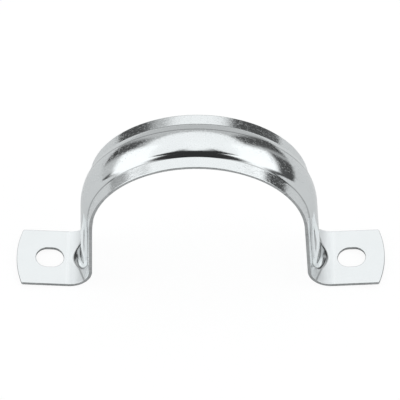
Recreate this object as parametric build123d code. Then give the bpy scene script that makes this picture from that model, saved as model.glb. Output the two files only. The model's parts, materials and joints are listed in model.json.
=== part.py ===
from build123d import *
import math
import os

# Two-hole conduit strap, pressed from one strip of zinc-plated sheet steel.
# X runs along the strap from foot to foot, Y along the conduit, Z up from the wall.
# The origin lies midway between the feet, level with their lowest line.

# Saddle, the half round that holds the conduit, in mm; its legs spring open a little
conduit_diameter = 101.6
saddle_centre_height = 44.6
leg_splay_angle = 1.9

# Strip
sheet_thickness = 1.6
strap_width = 31.0
corner_radius = 0.8

# Feet, bent outwards and rising a few degrees until the screws draw them flat
bend_radius = 9.0
foot_rise_angle = 4.0
foot_length = 25.4
foot_end_radius = 44.0

# Screw slots, each centred this far in from the middle of its foot's bowed end
slot_end_distance = 15.8
slot_width = 11.0
slot_length = 13.4

# Stiffening rib, pressed outwards along the middle of the strip
rib_width = 18.8
rib_height = 3.6
rib_wall_angle = 58.0
rib_crown_radius = 18.0
rib_shoulder_radius = 3.0
rib_crease_radius = 0.7

# Foot of the rib, where its crest turns outwards and sinks into the bend
rib_foot_radius = 8.0
rib_foot_reach = 3.6

# How far the shapes that cut run past the sheet
margin = 5.0

# Faces of the sheet, as distances from the saddle's axis
saddle_radius = conduit_diameter / 2
outer_face = saddle_radius + sheet_thickness
crest_face = outer_face + rib_height

# Directions square to the right leg and down it, in the side view
splay = math.radians(leg_splay_angle)
arch_angle = 180 - 2 * leg_splay_angle
outwards = Vector(math.cos(splay), math.sin(splay))
down_leg = Vector(math.sin(splay), -math.cos(splay))


def leg_point(distance, run):
    """A point this far out from the saddle's axis and this far down from the springing."""
    return Vector(0, saddle_centre_height) + outwards * distance + down_leg * run


def leg_run(distance, height):
    """How far down from the springing a line at this distance comes to this height."""
    return (leg_point(distance, 0).Y - height) / math.cos(splay)


# The right bend, whose arc turns from the leg to the foot
outer_bend_radius = bend_radius + sheet_thickness
bend_distance = outer_face + bend_radius
bend_centre = leg_point(bend_distance, leg_run(bend_distance, outer_bend_radius))
leg_side = 180 + leg_splay_angle
foot_side = 270 + foot_rise_angle

# The foot's end and its slot
foot_end = bend_centre.X + foot_length
slot_centre = foot_end - slot_end_distance

# The right foot of the rib
rib_foot_drop = math.sqrt(rib_foot_radius**2 - (rib_foot_radius - rib_foot_reach) ** 2)
rib_foot_height = sheet_thickness + rib_foot_drop
rib_foot_distance = crest_face + rib_foot_radius
rib_foot_run = leg_run(rib_foot_distance, rib_foot_height)
rib_foot_centre = leg_point(rib_foot_distance, rib_foot_run)


def bend_point(radius, angle):
    """A point of the right bend in the side view."""
    turn = math.radians(angle)
    return bend_centre + Vector(math.cos(turn), math.sin(turn)) * radius


def foot_line(depth):
    """The right foot's line in the side view, from the bend to past the strap's end."""
    start = bend_point(outer_bend_radius - depth, foot_side)
    run = foot_end + margin - start.X
    return Line(start, start + Vector(run, run * math.tan(math.radians(foot_rise_angle))))


def side_line(depth):
    """The strap's side view, foot end to foot end, at a depth out from the conduit."""
    radius = saddle_radius + depth
    bend = outer_bend_radius - depth
    on_leg, in_bend, on_foot = (
        bend_point(bend, angle) for angle in (leg_side, (leg_side + foot_side) / 2, foot_side)
    )
    leg = Line(leg_point(radius, 0), on_leg)
    side = [leg, ThreePointArc(on_leg, in_bend, on_foot), foot_line(depth)]
    arch = CenterArc((0, saddle_centre_height), radius, leg_splay_angle, arch_angle)
    return [arch, *side, *(mirror(edge, Plane.YZ) for edge in side)]


def prism(edges, width):
    """The side view that the edges close, as a solid centred on the strap's middle plane."""
    return extrude(Plane.XZ * make_face(edges), width / 2, both=True)


def mirrored_line(start, end):
    """A line of the side view and its mirror image."""
    line = Line(start, end)
    return [line, mirror(line, Plane.YZ)]


def make_sheet():
    """The strip bent over the conduit, before the rib is pressed and the ends are cut."""
    closing = mirrored_line(foot_line(0) @ 1, foot_line(sheet_thickness) @ 1)
    edges = side_line(0) + side_line(sheet_thickness) + closing
    return prism(edges, strap_width + 2 * margin)


def make_outside():
    """The space outwards of the middle of the sheet."""
    start = foot_line(sheet_thickness / 2) @ 1
    corner = Vector(start.X, saddle_centre_height + crest_face + margin)
    edges = side_line(sheet_thickness / 2) + mirrored_line(start, corner)
    edges += mirrored_line(corner, (0, corner.Y))
    return prism(edges, strap_width)


def rib_section(inset, root):
    """The rib's cross-section, X across the strip and Y out from the flanges' outer face."""
    wall = math.radians(rib_wall_angle)
    half = rib_width / 2 - inset / math.sin(wall)
    bottom = half + root / math.tan(wall)
    top = half - rib_height / math.tan(wall)
    corners = [(-bottom, -root), (-top, rib_height), (top, rib_height), (bottom, -root)]
    walls = make_face(Polyline(*corners, close=True))
    crown = Pos(0, rib_height - rib_crown_radius) * Circle(rib_crown_radius - inset)
    section = walls & crown
    shoulders = section.vertices().sort_by(Axis.Y)[-2:]
    return fillet(shoulders, rib_shoulder_radius - inset)


def across_leg(run):
    """The plane across the right leg, X across the strip, Y outwards and Z down the leg."""
    origin = leg_point(outer_face, run)
    return Plane((origin.X, 0, origin.Y), x_dir=(0, 1, 0), z_dir=(down_leg.X, 0, down_leg.Y))


def make_rib(inset, root):
    """The rib over the saddle, down both legs and turned into both feet."""
    section = across_leg(0) * rib_section(inset, root)
    arch = revolve(section, Axis((0, 0, saddle_centre_height), (0, -1, 0)), arch_angle)
    leg = extrude(section, rib_foot_run)
    foot_section = across_leg(rib_foot_run) * rib_section(inset, root)
    foot_axis = Axis((rib_foot_centre.X, 0, rib_foot_centre.Y), (0, -1, 0))
    turn = math.asin((rib_foot_height - sheet_thickness / 2) / rib_foot_radius) - splay
    side = leg + revolve(foot_section, foot_axis, math.degrees(turn))
    return arch + side + mirror(side, Plane.YZ)


def make_blank():
    """The strap's outline seen from above, with bowed ends, as a tall block."""
    half_width = strap_width / 2
    bow = foot_end_radius - math.sqrt(foot_end_radius**2 - half_width**2)
    corner = Vector(foot_end - bow, half_width)
    end = ThreePointArc((corner.X, -half_width), (foot_end, 0), corner)
    long_side = Line(corner, (-corner.X, half_width))
    outline = make_face([end, mirror(end, Plane.YZ), long_side, mirror(long_side, Plane.XZ)])
    outline = fillet(outline.vertices(), corner_radius)
    return extrude(outline, saddle_centre_height + crest_face + margin)


def make_slots():
    """Both screw slots, each longer along the strap."""
    places = GridLocations(2 * slot_centre, 0, 2, 1)
    slots = Sketch() + [place * SlotOverall(slot_length, slot_width) for place in places]
    return extrude(slots, foot_end, both=True)


def make_strap():
    """The pressed strap: its sheet keeps one thickness through the rib and its creases."""
    sheet = make_sheet()
    rib = make_rib(0, sheet_thickness / 4) & make_outside()
    raised = sheet + rib
    outer_creases = new_edges(sheet, rib, combined=raised)
    raised = fillet(outer_creases, rib_crease_radius)
    hollow = make_rib(sheet_thickness, sheet_thickness + margin)
    pressed = raised - hollow
    inner_creases = new_edges(raised, hollow, combined=pressed)
    pressed = fillet(inner_creases, rib_crease_radius + sheet_thickness)
    return (pressed & make_blank()) - make_slots()


os.makedirs("parts", exist_ok=True)
strap = make_strap()
export_step(strap, "parts/strap.step")
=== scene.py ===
import json
import math
import bpy
from mathutils import Matrix, Vector


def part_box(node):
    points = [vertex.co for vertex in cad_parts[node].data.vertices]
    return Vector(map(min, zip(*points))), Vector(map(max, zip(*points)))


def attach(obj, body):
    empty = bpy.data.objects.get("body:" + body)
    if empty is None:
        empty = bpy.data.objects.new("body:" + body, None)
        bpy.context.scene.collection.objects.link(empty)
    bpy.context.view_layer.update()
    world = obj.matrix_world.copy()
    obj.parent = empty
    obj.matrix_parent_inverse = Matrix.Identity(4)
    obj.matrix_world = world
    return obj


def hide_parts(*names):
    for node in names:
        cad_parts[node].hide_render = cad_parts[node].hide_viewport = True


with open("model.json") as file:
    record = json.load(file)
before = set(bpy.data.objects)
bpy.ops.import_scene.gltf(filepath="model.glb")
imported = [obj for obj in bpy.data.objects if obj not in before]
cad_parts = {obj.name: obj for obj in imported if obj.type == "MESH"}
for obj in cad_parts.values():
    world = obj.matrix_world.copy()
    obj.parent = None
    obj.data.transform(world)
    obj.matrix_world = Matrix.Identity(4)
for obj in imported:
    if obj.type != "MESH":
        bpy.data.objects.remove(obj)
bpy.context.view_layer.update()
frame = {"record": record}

# The strap is one strip of 1.6 mm steel. It is blanked with a slot near each bowed end, pressed with
# a rib along its middle, and bent over a half round and out into two feet. The tree below makes a
# flat blank as a grid and then gives each of its points its place in the pressed and bent sheet.
mounts = {mount["name"]: mount for mount in frame["record"]["mounts"]}
saddle = mounts["saddle"]
slots = mounts["screw_slots"]["dims"]
low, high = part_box("strap")

MM = 0.001
thickness = 1.6 * MM
edge_radius = 0.2 * MM
corner_radius = 0.8 * MM
foot_end_radius = 44.0 * MM
leg_splay = math.radians(1.9)
foot_rise = math.radians(4.0)
bend_radius = 9.0 * MM

# The rib, whose crest turns outwards at its foot, and the flanges beside it: they droop towards
# their edges, and the rib has drawn them in a little
rib_width = 18.8 * MM
rib_height = 3.6 * MM
rib_wall_slope = math.tan(math.radians(53.0))
rib_crown_radius = 18.0 * MM
shoulder_rounding = 0.8 * MM
crease_rounding = 0.4 * MM
rib_foot_radius = 8.0 * MM
rib_foot_reach = 3.6 * MM
front_flange_tilt = math.tan(math.radians(6.0))
rear_flange_tilt = math.tan(math.radians(4.5))
front_draw_in = 0.5 * MM
rear_draw_in = 0.2 * MM

# Sizes that the frame gives
half_width = (high.y - low.y) / 2
foot_end = high.x
centre_height = saddle["pos_m"][2]
outer_radius = saddle["dims"]["r_mm"] * MM + thickness
slot_centre = slots["spacing_x_mm"] * MM / 2
slot_radius = slots["hole_r_mm"] * MM
slot_straight = slots["slot_length_mm"] * MM / 2 - slot_radius


def leg_run(distance, height):
    """How far down the leg a line at this distance from the saddle's axis comes to this height."""
    return (centre_height + distance * math.sin(leg_splay) - height) / math.cos(leg_splay)


# Lengths along the outer face from the crown to the foot's end
arch_length = outer_radius * (math.pi / 2 - leg_splay)
leg_length = leg_run(outer_radius + bend_radius, bend_radius + thickness)
bend_turn = math.pi / 2 - leg_splay + foot_rise
bend_length = bend_radius * bend_turn
bend_centre_x = (outer_radius + bend_radius) * math.cos(leg_splay) + leg_length * math.sin(leg_splay)
foot_start = bend_centre_x - bend_radius * math.cos(leg_splay + bend_turn)
foot_length = (foot_end - foot_start) / math.cos(foot_rise)
slot_along = (slot_centre - foot_start) / math.cos(foot_rise)

# The rib's foot: the middle of its crest's last arc, out from the bend's centre and down from it
foot_drop = math.sqrt(rib_foot_radius**2 - (rib_foot_radius - rib_foot_reach) ** 2)
foot_centre_out = rib_height + rib_foot_radius - bend_radius
foot_centre_run = leg_run(outer_radius + rib_height + rib_foot_radius, thickness + foot_drop)
foot_centre_down = foot_centre_run - leg_length

# The blank's grid: stretches from the crown outwards and from the middle line outwards, each with
# its length and its number of cells, finest in the bend and at the rib's crease. A rectangle round
# the slot is left out, and the grid round it is pulled to the slot's rounded outline.
hole_half_width = 4.7 * MM
hole_half_length = hole_half_width + slot_straight
before_hole = slot_along - hole_half_length
after_hole = foot_length - slot_along - hole_half_length
crease_start = 8.0 * MM
crease_end = 10.4 * MM
arch_and_leg = arch_length + leg_length
stretches_along = [(arch_and_leg, 110), (bend_length, 36), (before_hole, 8),
                   (2 * hole_half_length, 24), (after_hole, 22)]
stretches_across = [(hole_half_width, 12), (crease_start - hole_half_width, 9),
                    (crease_end - crease_start, 14), (half_width - crease_end, 13)]


class Field:
    """A number that varies over the surface: a socket of a node tree, with plain arithmetic."""

    def __init__(self, tree, socket):
        self.tree = tree
        self.socket = socket

    def __add__(self, other):
        return calc("ADD", self, other)

    def __radd__(self, other):
        return calc("ADD", other, self)

    def __sub__(self, other):
        return calc("SUBTRACT", self, other)

    def __rsub__(self, other):
        return calc("SUBTRACT", other, self)

    def __mul__(self, other):
        return calc("MULTIPLY", self, other)

    def __rmul__(self, other):
        return calc("MULTIPLY", other, self)

    def __truediv__(self, other):
        return calc("DIVIDE", self, other)

    def __rtruediv__(self, other):
        return calc("DIVIDE", other, self)


def wire(tree, value, place):
    """Sets an input socket to a number, or links it to a field or another socket."""
    if isinstance(value, Field):
        tree.links.new(value.socket, place)
    elif isinstance(value, bpy.types.NodeSocket):
        tree.links.new(value, place)
    else:
        place.default_value = value


def calc(operation, *values):
    """One Math node on fields and numbers."""
    tree = next(value.tree for value in values if isinstance(value, Field))
    node = tree.nodes.new("ShaderNodeMath")
    node.operation = operation
    for place, value in zip(node.inputs, values):
        wire(tree, value, place)
    return Field(tree, node.outputs[0])


def within(value, lowest, highest):
    """The value, kept between two limits."""
    return calc("MINIMUM", calc("MAXIMUM", value, lowest), highest)


def nearness(distance, reach):
    """1 on a line, falling to 0 at this reach from it."""
    return within(1.0 - calc("ABSOLUTE", distance) / reach, 0.0, 1.0)


def choose(share, at_one, at_zero):
    """The first value where the share is 1, the second where it is 0, and a blend between."""
    return at_zero + share * (at_one - at_zero)


def add_node(tree, kind, settings=(), **inputs):
    """A node with its settings, and its inputs by name, with _ for a space."""
    node = tree.nodes.new(kind)
    for name, value in dict(settings).items():
        setattr(node, name, value)
    for name, value in inputs.items():
        wire(tree, value, node.inputs[name.replace("_", " ")])
    return node


def add_inputs(tree, values):
    """Gives a tree an input for each named number, and returns the inputs as fields."""
    for name, value in values.items():
        socket = tree.interface.new_socket(name, in_out="INPUT", socket_type="NodeSocketFloat")
        socket.default_value = value
    given = add_node(tree, "NodeGroupInput")
    return {name: Field(tree, given.outputs[name]) for name in values}


def spaced(steps, stretches):
    """How far a count of cells reaches along stretches, each with a length and a number of cells."""
    reach = 0.0
    start = 0
    for length, cells in stretches:
        reach = reach + within(steps - start, 0.0, cells) * (length / cells)
        start += cells
    return reach


press = bpy.data.node_groups.new("pressed_strap", "GeometryNodeTree")
press.is_modifier = True
press.interface.new_socket("Strap", in_out="OUTPUT", socket_type="NodeSocketGeometry")
tree_sizes = {
    "Outer radius": outer_radius, "Centre height": centre_height, "Leg length": leg_length,
    "Leg splay": leg_splay, "Foot rise": foot_rise, "Bend radius": bend_radius,
    "Rib width": rib_width, "Rib height": rib_height, "Rib crown radius": rib_crown_radius,
    "Rib foot radius": rib_foot_radius, "Sheet thickness": thickness,
}
size = add_inputs(press, tree_sizes)

cells_along = sum(cells for length, cells in stretches_along)
cells_across = sum(cells for length, cells in stretches_across)
grid = add_node(press, "GeometryNodeMeshGrid", Size_X=2.0 * cells_along, Size_Y=2.0 * cells_across,
                Vertices_X=2 * cells_along + 1, Vertices_Y=2 * cells_across + 1)
place = add_node(press, "GeometryNodeInputPosition")
apart = add_node(press, "ShaderNodeSeparateXYZ", Vector=place.outputs[0])
step_x = Field(press, apart.outputs["X"])
step_y = Field(press, apart.outputs["Y"])
side_x = calc("SIGN", step_x)
side_y = calc("SIGN", step_y)
at_rear = calc("GREATER_THAN", side_y, 0.0)
steps_along = calc("ABSOLUTE", step_x)
steps_across = calc("ABSOLUTE", step_y)

hole_start = sum(cells for length, cells in stretches_along[:3])
hole_end = hole_start + stretches_along[3][1]
in_hole = (calc("GREATER_THAN", steps_along, hole_start) * calc("LESS_THAN", steps_along, hole_end)
           * calc("LESS_THAN", steps_across, stretches_across[0][1]))
punched = add_node(press, "GeometryNodeDeleteGeometry", {"domain": "FACE"},
                   Geometry=grid.outputs["Mesh"], Selection=in_hole)

# The blank's outline: its bowed ends and their rounded corners
along = spaced(steps_along, stretches_along)
across = spaced(steps_across, stretches_across)
straight_length = arch_length + leg_length + bend_length
bow = foot_end_radius - calc("SQRT", foot_end_radius**2 - across * across)
past_hole = calc("MAXIMUM", along - (straight_length + slot_along + hole_half_length), 0.0)
along = along - past_hole * bow / (after_hole * math.cos(foot_rise))

corner_across = half_width - corner_radius
corner_inset = math.sqrt((foot_end_radius - corner_radius) ** 2 - corner_across**2)
corner_along = straight_length + foot_length - (foot_end_radius - corner_inset)
corner_x = along - corner_along
corner_y = across - corner_across
in_corner = (calc("GREATER_THAN", corner_x, 0.0)
             * calc("GREATER_THAN", corner_y * corner_inset - corner_x * corner_across, 0.0))
corner_away = calc("MAXIMUM", calc("SQRT", corner_x * corner_x + corner_y * corner_y), corner_radius)
pull = choose(in_corner, corner_radius / corner_away, 1.0)
along = choose(in_corner, corner_along + corner_x * pull, along)
across = choose(in_corner, corner_across + corner_y * pull, across)

# The slot: a point's level is its distance from the slot's middle, 1 on the left-out rectangle. The
# rectangle goes to the slot's outline, and the points round it follow, less and less, up to the
# last level
last_level = 2.0
least_level = 0.1
hole_x = along - (straight_length + slot_along)
hole_y = across
level = calc("MAXIMUM", calc("ABSOLUTE", hole_x) / hole_half_length, hole_y / hole_half_width)
level = calc("MAXIMUM", level, least_level)
rim_x = hole_x / level
rim_y = hole_y / level
straight_x = within(rim_x, -slot_straight, slot_straight)
rim_away = calc("SQRT", (rim_x - straight_x) * (rim_x - straight_x) + rim_y * rim_y)
fade = within((last_level - level) / (last_level - 1), 0.0, 1.0)
along = along + fade * (straight_x + (rim_x - straight_x) * slot_radius / rim_away - rim_x)
across = across + fade * (rim_y * slot_radius / rim_away - rim_y)

# The pressed rib: how far the outer face stands out from the flanges' face, straight up its wall
# and round its crown. The bend's part of it is measured towards the bend's centre: first the leg's
# rib carries straight on, and then its crest follows the arc of the rib's foot.
least_cos = 0.0001
on_arch = within(along, 0.0, arch_length)
on_leg = within(along - arch_length, 0.0, leg_length)
on_bend = within(along - arch_and_leg, 0.0, bend_length)
on_foot = calc("MAXIMUM", along - straight_length, 0.0)
turned = on_bend / size["Bend radius"]
wall = (size["Rib width"] / 2 - across) * rib_wall_slope
crown_radius = size["Rib crown radius"]
crown_drop = crown_radius - calc("SQRT", crown_radius * crown_radius - across * across)
rib = calc("SMOOTH_MIN", wall, size["Rib height"] - crown_drop, shoulder_rounding)
turned_cos = calc("COSINE", turned)
turned_sin = calc("SINE", turned)
to_leg_line = (size["Bend radius"] - rib) / calc("MAXIMUM", turned_cos, least_cos)
toward = turned_sin * foot_centre_down - turned_cos * foot_centre_out
foot_circle = size["Rib foot radius"] + size["Rib height"] - rib
centre_away = foot_centre_out**2 + foot_centre_down**2
to_foot_circle = toward + calc("SQRT", toward * toward - centre_away + foot_circle * foot_circle)
above_foot = calc("LESS_THAN", to_leg_line * turned_sin, foot_centre_down)
raised = size["Bend radius"] - choose(above_foot, to_leg_line, to_foot_circle)

# The flanges beside the rib, level again part of the way round the bend, and the crease between
level_share = 0.6
tilt = choose(at_rear, rear_flange_tilt, front_flange_tilt)
held = within(1.0 - on_bend / (level_share * bend_length), 0.0, 1.0)
flange = calc("MAXIMUM", across - rib_width / 2, 0.0) * tilt * held * -1.0
standing = raised - flange
raised = calc("SMOOTH_MAX", raised, flange, crease_rounding)

# The bent strip: each point of the blank at its place round the arch, leg, bend and foot
arch_turn = on_arch / size["Outer radius"]
bend_angle = size["Leg splay"] + turned
splay_cos = calc("COSINE", size["Leg splay"])
splay_sin = calc("SINE", size["Leg splay"])
line_x = (size["Outer radius"] * calc("SINE", arch_turn) + on_leg * splay_sin
          + size["Bend radius"] * (splay_cos - calc("COSINE", bend_angle))
          + on_foot * calc("COSINE", size["Foot rise"]))
line_z = (size["Centre height"] + size["Outer radius"] * calc("COSINE", arch_turn) - on_leg * splay_cos
          + size["Bend radius"] * (splay_sin - calc("SINE", bend_angle))
          + on_foot * calc("SINE", size["Foot rise"]))
facing = arch_turn - turned
final_x = side_x * (line_x + raised * calc("SINE", facing))
on_flange = within((across - rib_width / 2) / (half_width - rib_width / 2), 0.0, 1.0)
draw_in = choose(at_rear, rear_draw_in, front_draw_in)
final_y = side_y * (across - on_flange * held * draw_in)
final_z = line_z + raised * calc("COSINE", facing)
final = add_node(press, "ShaderNodeCombineXYZ", X=final_x, Y=final_y, Z=final_z)

# Each point keeps its place on the blank, and how far the rib stands over the flange there, for
# the marks on its surface
blank_place = add_node(press, "ShaderNodeCombineXYZ", X=side_x * along, Y=final_y, Z=standing)
marked = add_node(press, "GeometryNodeStoreNamedAttribute",
                  {"data_type": "FLOAT_VECTOR", "domain": "POINT"},
                  Geometry=punched.outputs["Geometry"], Name="blank", Value=blank_place.outputs[0])
bent = add_node(press, "GeometryNodeSetPosition", Geometry=marked.outputs[0], Position=final.outputs[0])

# The sheet's thickness: the outer face and, a thickness inside it, the inner face and the sheared
# edge between, whose corners are a little rounded
same_place = 0.001 * MM
sharp_corner = math.radians(50)
zinc_plate = bpy.data.materials.new("zinc_plate")
sheared_edge = bpy.data.materials.new("sheared_edge")
turned_over = add_node(press, "GeometryNodeFlipFaces", Mesh=bent.outputs[0])
inner = add_node(press, "GeometryNodeExtrudeMesh", {"mode": "FACES"}, Mesh=turned_over.outputs[0],
                 Offset_Scale=size["Sheet thickness"], Individual=False)
joined = add_node(press, "GeometryNodeJoinGeometry")
press.links.new(bent.outputs[0], joined.inputs[0])
press.links.new(inner.outputs["Mesh"], joined.inputs[0])
merged = add_node(press, "GeometryNodeMergeByDistance", Geometry=joined.outputs[0],
                  Distance=same_place)
smooth = add_node(press, "GeometryNodeSetShadeSmooth", Geometry=merged.outputs[0])
realized = add_node(press, "GeometryNodeRealizeInstances", Geometry=smooth.outputs[0])
plated = add_node(press, "GeometryNodeSetMaterial", Geometry=realized.outputs[0], Material=zinc_plate)
cut = add_node(press, "GeometryNodeSetMaterial", Geometry=plated.outputs[0], Material=sheared_edge,
               Selection=inner.outputs["Side"])
add_node(press, "NodeGroupOutput", Strap=cut.outputs[0])

strap = bpy.data.objects.new("strap_sheet", bpy.data.meshes.new("strap_sheet"))
bpy.context.collection.objects.link(strap)
pressing = strap.modifiers.new("pressing", "NODES")
pressing.node_group = press
for item in press.interface.items_tree:
    if item.in_out == "INPUT":
        pressing[item.identifier] = tree_sizes[item.name]
edging = strap.modifiers.new("edging", "BEVEL")
edging.width = edge_radius
edging.segments = 2
edging.limit_method = "ANGLE"
edging.angle_limit = sharp_corner

# The finished mesh, without the empty material slot that the grid started with
made = strap.evaluated_get(bpy.context.evaluated_depsgraph_get())
strap.data = bpy.data.meshes.new_from_object(made)
strap.modifiers.clear()
strap.data.materials.pop(index=0)
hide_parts("strap")
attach(strap, "root")

# The sheet is cold-rolled steel with a bright zinc plate. It keeps the fine grain of the rolls, drawn
# out along the strip, and the plate lies a little unevenly over it, as it comes out of the bath.
# This group reads the blank's coordinates, so that the grain bends with the sheet.
zinc_colour = (0.967, 0.988, 0.995)
grain = bpy.data.node_groups.new("rolled_grain", "ShaderNodeTree")
grain_size = add_inputs(grain, {"Fineness": 1500.0, "Stretch": 0.6, "Unevenness": 90.0})
for name in ("Grain", "Cloud", "Along", "Across", "Standing"):
    grain.interface.new_socket(name, in_out="OUTPUT", socket_type="NodeSocketFloat")
blank = add_node(grain, "ShaderNodeAttribute", {"attribute_name": "blank"})
blank_parts = add_node(grain, "ShaderNodeSeparateXYZ", Vector=blank.outputs["Vector"])
blank_x = Field(grain, blank_parts.outputs["X"])
blank_y = Field(grain, blank_parts.outputs["Y"])
object_place = add_node(grain, "ShaderNodeTexCoord")
object_parts = add_node(grain, "ShaderNodeSeparateXYZ", Vector=object_place.outputs["Object"])
height = Field(grain, object_parts.outputs["Z"])
height_share = 0.02
drawn_out = add_node(grain, "ShaderNodeCombineXYZ", X=blank_x * grain_size["Stretch"], Y=blank_y,
                     Z=height * height_share)
fine = add_node(grain, "ShaderNodeTexNoise", Vector=drawn_out.outputs[0],
                Scale=grain_size["Fineness"], Detail=3.0, Roughness=0.65)
flat_place = add_node(grain, "ShaderNodeCombineXYZ", X=blank_x, Y=blank_y)
clouds = add_node(grain, "ShaderNodeTexNoise", Vector=flat_place.outputs[0],
                  Scale=grain_size["Unevenness"], Detail=3.0, Roughness=0.55)
add_node(grain, "NodeGroupOutput", Grain=fine.outputs[0], Cloud=clouds.outputs[0],
         Along=blank_x, Across=blank_y, Standing=blank_parts.outputs["Z"])


def grain_of(material, **settings):
    """The grain's outputs, by name, as fields in a material's tree."""
    tree = material.node_tree
    node = add_node(tree, "ShaderNodeGroup", {"node_tree": grain}, **settings)
    return {socket.name: Field(tree, socket) for socket in node.outputs}


def shade(material, tone, **inputs):
    """Sets a material's metal shader: its tone in the colour of zinc, and its other inputs by name."""
    tree = material.node_tree
    shader = tree.nodes["Principled BSDF"]
    shader.inputs["Metallic"].default_value = 1.0
    red, green, blue = zinc_colour
    tinted = add_node(tree, "ShaderNodeCombineXYZ", X=tone * red, Y=tone * green, Z=tone * blue)
    wire(tree, tinted.outputs[0], shader.inputs["Base Color"])
    for name, value in inputs.items():
        wire(tree, value, shader.inputs[name])


# The plated faces. A dark line is painted along the rear of the rib's crest and one across each bend,
# as painted dark reflections, and one in the crease round the rib, as painted shade. Pressing roughens
# the arch in small specks, apart from the rib's walls. Beside the rib's foot in each bend the plate is
# rougher and painted lighter, a painted highlight.
clean_tone = 0.83
clean_roughness = 0.09
relief_height = 0.022 * MM
leg_grain = 0.25
wall_grain = 0.3
crest_grain = 0.7
cloud_share = 0.5
grain_contrast = 0.06
cloud_contrast = 0.05
cloud_roughness = 0.04
# Painted dark lines: painted dark reflections along the rear of the rib's crest and across each bend,
# and painted shade in the crease round the rib
painted_line_strength = 0.6
bend_shade_gain = 0.1
darkest_painted_line = 0.85
painted_line_darkness = 0.8
line_reach = 0.45 * MM
crest_line_place = 4.4 * MM
bend_line_reach = 0.8 * MM
bend_line_start = bend_length * 0.56
bend_line_slope = 0.4
wall_middle = 1.15 * MM
wall_half_height = 1.2 * MM
wall_fade = 0.4 * MM
arch_fade = 12.0 * MM
bend_fade = 2.0 * MM
foot_fade = 3.0 * MM
flange_depth = 0.8 * MM
speck_contrast = 8.0
speck_roughness = 0.18
# The bend beside the rib's foot is painted lighter, a painted highlight, and made rougher
painted_highlight_brightness = 0.16
frost_roughness = 0.42

zinc_plate.use_nodes = True
plate = grain_of(zinc_plate)
off_middle = calc("ABSOLUTE", plate["Across"])
from_crown = calc("ABSOLUTE", plate["Along"])
past_leg = from_crown - arch_and_leg
in_bend = within(past_leg / bend_fade, 0.0, 1.0)
before_foot = within((bend_length - past_leg) / foot_fade + 0.5, 0.0, 1.0)
beside_rib = within(plate["Standing"] / (-1.0 * flange_depth), 0.0, 1.0)

# The painted dark lines: painted dark reflections behind the crest and across each bend, painted shade
# in the crease round the rib
behind_crest = calc("GREATER_THAN", plate["Across"], 0.0) * calc("LESS_THAN", past_leg, 0.0)
crest_painted_reflection = nearness(off_middle - crest_line_place, line_reach) * behind_crest
crease_painted_shade = nearness(plate["Standing"], line_reach)
bend_line_place = bend_line_start - (off_middle - rib_width / 2) * bend_line_slope
bend_painted_reflection = nearness(past_leg - bend_line_place, bend_line_reach) * beside_rib
painted_lines = (crest_painted_reflection + bend_painted_reflection) * painted_line_strength + crease_painted_shade * (painted_line_strength + in_bend * bend_shade_gain)
painted_lines = within(painted_lines, 0.0, darkest_painted_line)

off_wall = calc("ABSOLUTE", plate["Standing"] - wall_middle) - wall_half_height
off_wall = within(off_wall / wall_fade, 0.0, 1.0)
pressed = within((arch_length - from_crown) / arch_fade, 0.0, 1.0)
speck = within((plate["Grain"] - 0.5) * speck_contrast, 0.0, 1.0) * pressed * off_wall
# Mask for the painted highlight and the added roughness in the bend beside the rib's foot
frost_and_highlight = in_bend * beside_rib * before_foot

# The plate's tone takes off the painted dark lines and adds the painted highlight in the bends
plate_tone = (clean_tone + (plate["Grain"] - 0.5) * grain_contrast
              + (plate["Cloud"] - 0.5) * cloud_contrast
              - painted_lines * painted_line_darkness + frost_and_highlight * painted_highlight_brightness)
plate_roughness = (clean_roughness + plate["Cloud"] * cloud_roughness + speck * speck_roughness
                   + frost_and_highlight * frost_roughness)
grain_share = leg_grain + pressed * (wall_grain + off_wall * crest_grain)
plate_relief = add_node(zinc_plate.node_tree, "ShaderNodeBump", Strength=1.0, Distance=relief_height,
                        Height=plate["Grain"] * grain_share + plate["Cloud"] * cloud_share)
shade(zinc_plate, plate_tone, Roughness=plate_roughness, Normal=plate_relief.outputs[0])

# The sheared edge, round the strip and inside its slots. It is duller and darker than the faces,
# with the short marks that the shear left under the plate.
cut_tone = 0.50
cut_roughness = 0.36
mark_height = 0.02 * MM
mark_contrast = 0.6
mark_roughness = 0.3
patch_contrast = 0.2
sheared_edge.use_nodes = True
edge = grain_of(sheared_edge, Fineness=1600.0, Stretch=1.0)
mark = edge["Grain"] - 0.5
edge_tone = cut_tone + mark * mark_contrast + (edge["Cloud"] - 0.5) * patch_contrast
edge_roughness = cut_roughness + mark * mark_roughness
edge_relief = add_node(sheared_edge.node_tree, "ShaderNodeBump", Strength=1.0, Distance=mark_height,
                       Height=edge["Grain"])
shade(sheared_edge, edge_tone, Roughness=edge_roughness, Normal=edge_relief.outputs[0])

# A plain pale table. The strap mirrors it as lit paper, and the camera sees it as white paper with a
# faint shadow.
floor_reach = 0.55
mirrored_grey = 0.90
seen_grey = 0.95
shadow_share = 0.12
paper_glow = 1.045


def grey(level):
    """A grey of this brightness."""
    return (level, level, level, 1.0)


floor = bpy.data.objects.new("floor", bpy.data.meshes.new("floor"))
corners = [(x * floor_reach, y * floor_reach, 0.0) for x, y in ((-1, -1), (1, -1), (1, 1), (-1, 1))]
floor.data.from_pydata(corners, [], [(0, 1, 2, 3)])
bpy.context.collection.objects.link(floor)
paper = bpy.data.materials.new("white_paper")
paper.use_nodes = True
paper_tree = paper.node_tree
paper_tree.nodes.clear()
path = add_node(paper_tree, "ShaderNodeLightPath")
mirrored = add_node(paper_tree, "ShaderNodeBsdfDiffuse", Color=grey(mirrored_grey))
shaded = add_node(paper_tree, "ShaderNodeBsdfDiffuse", Color=grey(seen_grey))
white = add_node(paper_tree, "ShaderNodeEmission", Color=grey(1.0), Strength=paper_glow)
seen = add_node(paper_tree, "ShaderNodeMixShader", Fac=shadow_share)
paper_tree.links.new(white.outputs[0], seen.inputs[1])
paper_tree.links.new(shaded.outputs[0], seen.inputs[2])
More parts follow.
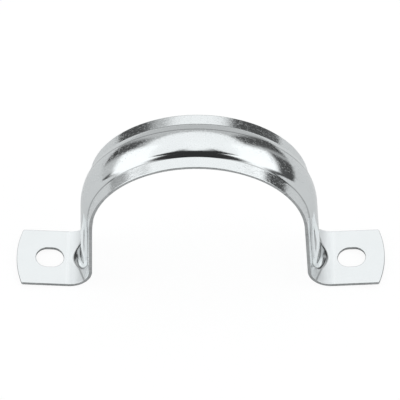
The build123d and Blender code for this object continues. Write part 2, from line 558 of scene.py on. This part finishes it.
either = add_node(paper_tree, "ShaderNodeMixShader", Fac=path.outputs["Is Camera Ray"])
paper_tree.links.new(mirrored.outputs[0], either.inputs[1])
paper_tree.links.new(seen.outputs[0], either.inputs[2])
add_node(paper_tree, "ShaderNodeOutputMaterial", Surface=either.outputs[0])
floor.data.materials.append(paper)

# The studio: a dim room with soft panels round the strap, in degrees. Azimuth 0 is behind the strap
# and 90 is to its right. A panel's lower and upper edges have their heights at its two ends, and a
# panel lies over those before it.
room_brightness = 0.035
panel_colour = (0.98, 1.0, 1.005, 1.0)
below = (-40, -40)
above = (120, 120)
panels = [
    # The dark band along the table's edge, the grey back wall and the white wall above it
    {"ends": (-142, 160), "lower": below, "upper": (11, 11), "soft": 11, "bright": 0.08},
    {"ends": (-90, 58), "lower": below, "upper": (30, 36), "soft": 8, "bright": 0.57},
    {"ends": (-116, 114), "lower": (33, 37), "upper": above, "soft": 10, "bright": 1.07},
    # A dark gap near each end of the grey wall
    {"ends": (-62, -38), "lower": below, "upper": (26, 28), "soft": 12, "bright": 0.08},
    {"ends": (29, 52), "lower": below, "upper": (36, 41), "soft": 11, "bright": 0.08},
    # The white panels on the left and right, and the white ceiling all round
    {"ends": (-149, -61), "lower": (-12, 15), "upper": (36, 53), "soft": 9, "bright": 1.25},
    {"ends": (58, 151), "lower": (19, -1), "upper": (58, 47), "soft": 9, "bright": 1.25},
    {"ends": (-200, 200), "lower": (75, 77), "upper": above, "soft": 12, "bright": 1.10},
]
world = bpy.data.worlds.new("studio")
bpy.context.scene.world = world
world.use_nodes = True
world_tree = world.node_tree
world_tree.nodes.clear()
heading = add_node(world_tree, "ShaderNodeTexCoord")
split = add_node(world_tree, "ShaderNodeSeparateXYZ", Vector=heading.outputs["Generated"])
ray_x = Field(world_tree, split.outputs["X"])
ray_y = Field(world_tree, split.outputs["Y"])
ray_z = Field(world_tree, split.outputs["Z"])
azimuth = calc("ARCTAN2", ray_x, ray_y) * (180 / math.pi)
rise = calc("ARCSINE", ray_z) * (180 / math.pi)


def soft_step(distance, softness):
    """0 well outside an edge and 1 well inside it, with a soft change over it."""
    part = within(distance / softness + 0.5, 0.0, 1.0)
    return part * part * (3.0 - 2.0 * part)


def edge_between(edge, share):
    """An edge's height at this share of the way from the panel's first end to its second."""
    return edge[0] + share * (edge[1] - edge[0])


brightness = room_brightness
for panel in panels:
    start, end = panel["ends"]
    share = (azimuth - start) / (end - start)
    above_lower = rise - edge_between(panel["lower"], share)
    below_upper = edge_between(panel["upper"], share) - rise
    mask = 1.0
    for distance in (azimuth - start, end - azimuth, above_lower, below_upper):
        mask = mask * soft_step(distance, panel["soft"])
    brightness = choose(mask, panel["bright"], brightness)
daylight = add_node(world_tree, "ShaderNodeBackground", Color=panel_colour, Strength=brightness)
plain = add_node(world_tree, "ShaderNodeBackground", Color=grey(1.0), Strength=1.0)
world_path = add_node(world_tree, "ShaderNodeLightPath")
behind = add_node(world_tree, "ShaderNodeMixShader", Fac=world_path.outputs["Is Camera Ray"])
world_tree.links.new(daylight.outputs[0], behind.inputs[1])
world_tree.links.new(plain.outputs[0], behind.inputs[2])
add_node(world_tree, "ShaderNodeOutputWorld", Surface=behind.outputs[0])

# The camera, by the photograph's view: far off, looking down at the strap a little from its right,
# and leaning a little
image_width = 400
pixels_per_metre = 2117.0
sensor_width = 36.0
camera_distance = 3.0
elevation = math.radians(54.5)
turn = math.radians(2.321)
lean = math.radians(-1.921)
aim = Vector((0.608, 0.0, 49.2)) * MM
back = Vector((math.sin(turn) * math.cos(elevation), -math.cos(turn) * math.cos(elevation),
               math.sin(elevation)))
right = Vector((0, 0, 1)).cross(back).normalized()
up = back.cross(right)
turned_right = right * math.cos(lean) + up * math.sin(lean)
turned_up = up * math.cos(lean) - right * math.sin(lean)
lens = bpy.data.cameras.new("camera")
lens.sensor_width = sensor_width
lens.lens = sensor_width * pixels_per_metre * camera_distance / image_width
lens.clip_end = 20.0
camera = bpy.data.objects.new("camera", lens)
bpy.context.collection.objects.link(camera)
camera.matrix_world = Matrix.Translation(aim + back * camera_distance) @ Matrix(
    (turned_right, turned_up, back)).transposed().to_4x4()
bpy.context.scene.camera = camera
bpy.context.scene.view_settings.view_transform = "Standard"
